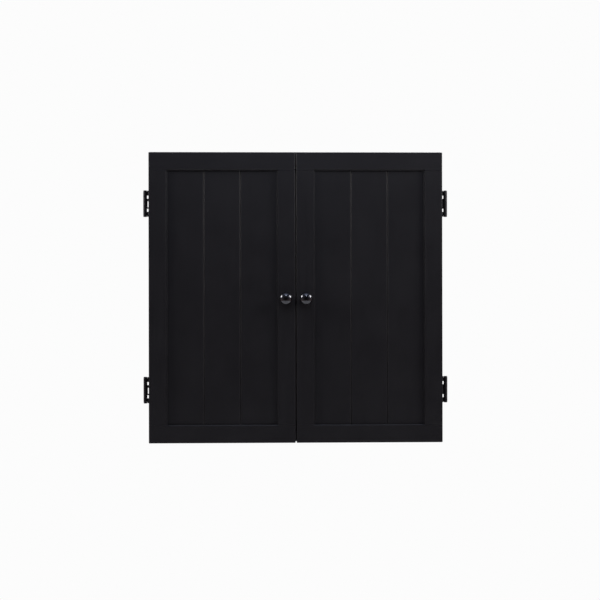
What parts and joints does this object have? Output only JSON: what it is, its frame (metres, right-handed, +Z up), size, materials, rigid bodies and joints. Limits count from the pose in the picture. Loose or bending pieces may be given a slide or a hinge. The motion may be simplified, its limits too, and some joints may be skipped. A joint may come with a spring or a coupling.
{
  "type": "dart board cabinet",
  "caption": "Shallow wall-hung cabinet for a dartboard: framed, V-lined doors on side hinges, round knobs, hanging bracket, magnetic catch, scoreboards and dart holders.",
  "frame": {"origin": "centre of the back panel's rear face, which rests on the wall", "axes": "+X to the right, +Y into the wall (the doors face -Y), +Z up"},
  "size_m": [0.7292, 0.1159, 0.6952],
  "materials": {
    "satin_black_paint": "satin black sprayed paint",
    "hinge_black_coat": "satin black coating",
    "black_nickel": "polished black nickel",
    "zinc_plate": "bright zinc plate",
    "catch_plastic": "moulded brown plastic",
    "ferrite_magnet": "ground ferrite",
    "slate_paint": "matt slate writing surface",
    "bumper_felt": "pressed felt"
  },
  "bodies": {
    "cabinet": {"back_panel": "satin_black_paint", "left_side_board": "satin_black_paint", "right_side_board": "satin_black_paint", "top_board": "satin_black_paint", "bottom_board": "satin_black_paint", "dartboard_bracket": "hinge_black_coat", "bracket_screw_1": "zinc_plate", "bracket_screw_2": "zinc_plate", "bracket_screw_3": "zinc_plate", "bracket_screw_4": "zinc_plate", "catch_housing": "catch_plastic", "left_catch_magnet": "ferrite_magnet", "left_catch_screw": "zinc_plate", "right_catch_magnet": "ferrite_magnet", "right_catch_screw": "zinc_plate", "left_upper_hinge_box_leaf": "hinge_black_coat", "left_upper_hinge_pin": "hinge_black_coat", "left_lower_hinge_box_leaf": "hinge_black_coat", "left_lower_hinge_pin": "hinge_black_coat", "right_upper_hinge_box_leaf": "hinge_black_coat", "right_upper_hinge_pin": "hinge_black_coat", "right_lower_hinge_box_leaf": "hinge_black_coat", "right_lower_hinge_pin": "hinge_black_coat"},
    "left_door": {"left_door_top_rail": "satin_black_paint", "left_door_bottom_rail": "satin_black_paint", "left_door_outer_stile": "satin_black_paint", "left_door_inner_stile": "satin_black_paint", "left_door_panel": "satin_black_paint", "left_knob": "black_nickel", "left_knob_screw": "zinc_plate", "left_upper_hinge_door_leaf": "hinge_black_coat", "left_upper_bumper": "bumper_felt", "left_lower_hinge_door_leaf": "hinge_black_coat", "left_lower_bumper": "bumper_felt", "left_strike_plate": "zinc_plate", "left_strike_screw": "zinc_plate", "left_scoreboard": "slate_paint", "left_dart_holder": "satin_black_paint", "left_holder_screw_1": "zinc_plate", "left_holder_screw_2": "zinc_plate"},
    "right_door": {"right_door_top_rail": "satin_black_paint", "right_door_bottom_rail": "satin_black_paint", "right_door_outer_stile": "satin_black_paint", "right_door_inner_stile": "satin_black_paint", "right_door_panel": "satin_black_paint", "right_knob": "black_nickel", "right_knob_screw": "zinc_plate", "right_upper_hinge_door_leaf": "hinge_black_coat", "right_upper_bumper": "bumper_felt", "right_lower_hinge_door_leaf": "hinge_black_coat", "right_lower_bumper": "bumper_felt", "right_strike_plate": "zinc_plate", "right_strike_screw": "zinc_plate", "right_scoreboard": "slate_paint", "right_dart_holder": "satin_black_paint", "right_holder_screw_1": "zinc_plate", "right_holder_screw_2": "zinc_plate"}
  },
  "joints": [
    {"name": "left_door_hinge", "type": "hinge", "parent": "cabinet", "child": "left_door", "pos_m": [-0.36, -0.0653, 0], "axis": [0, 0, -1], "range_deg": [0, 180]},
    {"name": "right_door_hinge", "type": "hinge", "parent": "cabinet", "child": "right_door", "pos_m": [0.36, -0.0653, 0], "axis": [0, 0, 1], "range_deg": [0, 180]}
  ]
}
